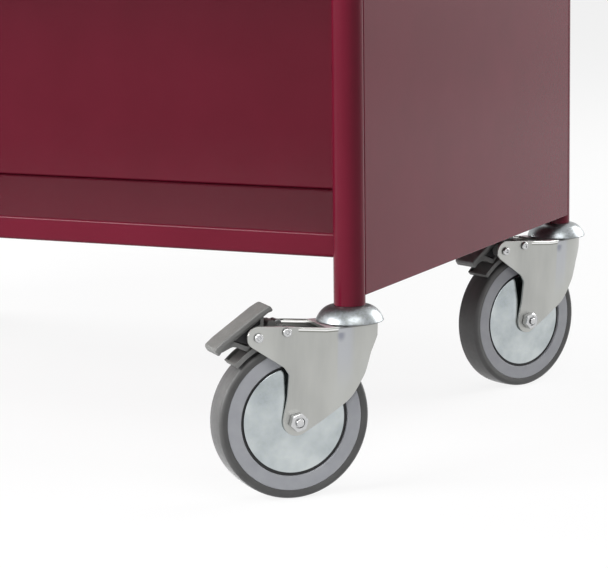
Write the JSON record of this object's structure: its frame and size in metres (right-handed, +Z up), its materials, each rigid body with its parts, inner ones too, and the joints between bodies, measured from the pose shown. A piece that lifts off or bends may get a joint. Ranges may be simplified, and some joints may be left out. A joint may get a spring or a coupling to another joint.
{
  "type": "book trolley",
  "caption": "Double-sided book trolley: bent steel tube ends with push handles, flat end panels and tray shelves, on swivel castors with foot brakes at one end.",
  "frame": {"origin": "on the floor, under the middle of the trolley", "axes": "+X along the shelves to the braked end, +Y from the front to the back, +Z up"},
  "size_m": [0.9284, 0.6656, 1.08],
  "materials": {
    "burgundy_paint": "satin powder coat with a fine orange peel",
    "zinc_plate": "bright zinc plate on pressed steel",
    "bright_zinc": "smooth bright plating",
    "steel": "plain bright steel",
    "grey_rubber": "dull grey rubber",
    "grey_nylon": "moulded light grey plastic",
    "grey_plastic": "moulded mid grey plastic"
  },
  "bodies": {
    "frame": {"end_frame_right": "burgundy_paint", "end_frame_left": "burgundy_paint", "end_panel_right": "burgundy_paint", "end_panel_left": "burgundy_paint", "shelf_1": "burgundy_paint", "shelf_2": "burgundy_paint", "shelf_3": "burgundy_paint", "partition_1": "burgundy_paint", "partition_2": "burgundy_paint", "top_divider": "burgundy_paint", "swivel_head_front_right": "bright_zinc", "ball_race_front_right": "steel", "swivel_head_rear_right": "bright_zinc", "ball_race_rear_right": "steel", "swivel_head_front_left": "bright_zinc", "ball_race_front_left": "steel", "swivel_head_rear_left": "bright_zinc", "ball_race_rear_left": "steel"},
    "castor_fork_front_right": {"fork_front_right": "zinc_plate", "axle_bolt_front_right": "steel", "axle_nut_front_right": "steel", "pedal_pin_front_right": "steel", "shoe_pin_front_right": "steel"},
    "wheel_front_right": {"tyre_front_right": "grey_rubber", "rim_front_right": "grey_nylon", "near_disc_front_right": "bright_zinc", "far_disc_front_right": "bright_zinc", "hub_bush_front_right": "steel"},
    "pedal_front_right": {"brake_pedal_front_right": "grey_plastic"},
    "shoe_front_right": {"brake_shoe_front_right": "grey_plastic"},
    "castor_fork_rear_right": {"fork_rear_right": "zinc_plate", "axle_bolt_rear_right": "steel", "axle_nut_rear_right": "steel", "pedal_pin_rear_right": "steel", "shoe_pin_rear_right": "steel"},
    "wheel_rear_right": {"tyre_rear_right": "grey_rubber", "rim_rear_right": "grey_nylon", "near_disc_rear_right": "bright_zinc", "far_disc_rear_right": "bright_zinc", "hub_bush_rear_right": "steel"},
    "pedal_rear_right": {"brake_pedal_rear_right": "grey_plastic"},
    "shoe_rear_right": {"brake_shoe_rear_right": "grey_plastic"},
    "castor_fork_front_left": {"fork_front_left": "zinc_plate", "axle_bolt_front_left": "steel", "axle_nut_front_left": "steel"},
    "wheel_front_left": {"tyre_front_left": "grey_rubber", "rim_front_left": "grey_nylon", "near_disc_front_left": "bright_zinc", "far_disc_front_left": "bright_zinc", "hub_bush_front_left": "steel"},
    "castor_fork_rear_left": {"fork_rear_left": "zinc_plate", "axle_bolt_rear_left": "steel", "axle_nut_rear_left": "steel"},
    "wheel_rear_left": {"tyre_rear_left": "grey_rubber", "rim_rear_left": "grey_nylon", "near_disc_rear_left": "bright_zinc", "far_disc_rear_left": "bright_zinc", "hub_bush_rear_left": "steel"}
  },
  "joints": [
    {"name": "swivel_front_right", "type": "hinge", "parent": "frame", "child": "castor_fork_front_right", "pos_m": [0.4375, -0.2425, 0.13533], "axis": [0, 0, 1], "continuous": true},
    {"name": "wheel_turn_front_right", "type": "hinge", "parent": "castor_fork_front_right", "child": "wheel_front_right", "pos_m": [0.40172, -0.27955, 0.0625], "axis": [0.7193, -0.6947, 0], "continuous": true},
    {"name": "pedal_press_front_right", "type": "hinge", "parent": "castor_fork_front_right", "child": "pedal_front_right", "pos_m": [0.37925, -0.30282, 0.13127], "axis": [0.7193, -0.6947, 0], "range_deg": [0, 10]},
    {"name": "shoe_close_front_right", "type": "hinge", "parent": "castor_fork_front_right", "child": "shoe_front_right", "pos_m": [0.39526, -0.28624, 0.1341], "axis": [0.7193, -0.6947, 0], "range_deg": [0, 1]},
    {"name": "swivel_rear_right", "type": "hinge", "parent": "frame", "child": "castor_fork_rear_right", "pos_m": [0.4375, 0.2425, 0.13533], "axis": [0, 0, 1], "continuous": true},
    {"name": "wheel_turn_rear_right", "type": "hinge", "parent": "castor_fork_rear_right", "child": "wheel_rear_right", "pos_m": [0.41412, 0.19661, 0.0625], "axis": [0.891, -0.454, 0], "continuous": true},
    {"name": "pedal_press_rear_right", "type": "hinge", "parent": "castor_fork_rear_right", "child": "pedal_rear_right", "pos_m": [0.39943, 0.16778, 0.13127], "axis": [0.891, -0.454, 0], "range_deg": [0, 10]},
    {"name": "shoe_close_rear_right", "type": "hinge", "parent": "castor_fork_rear_right", "child": "shoe_rear_right", "pos_m": [0.4099, 0.18833, 0.1341], "axis": [0.891, -0.454, 0], "range_deg": [0, 1]},
    {"name": "swivel_front_left", "type": "hinge", "parent": "frame", "child": "castor_fork_front_left", "pos_m": [-0.4375, -0.2425, 0.13533], "axis": [0, 0, 1], "continuous": true},
    {"name": "wheel_turn_front_left", "type": "hinge", "parent": "castor_fork_front_left", "child": "wheel_front_left", "pos_m": [-0.41412, -0.19661, 0.0625], "axis": [-0.891, 0.454, 0], "continuous": true},
    {"name": "swivel_rear_left", "type": "hinge", "parent": "frame", "child": "castor_fork_rear_left", "pos_m": [-0.4375, 0.2425, 0.13533], "axis": [0, 0, 1], "continuous": true},
    {"name": "wheel_turn_rear_left", "type": "hinge", "parent": "castor_fork_rear_left", "child": "wheel_rear_left", "pos_m": [-0.40172, 0.27955, 0.0625], "axis": [-0.7193, 0.6947, 0], "continuous": true}
  ],
  "couplings": [
    {"joint": "shoe_close_front_right", "follows": "pedal_press_front_right", "ratio": 0.1},
    {"joint": "shoe_close_rear_right", "follows": "pedal_press_rear_right", "ratio": 0.1}
  ]
}
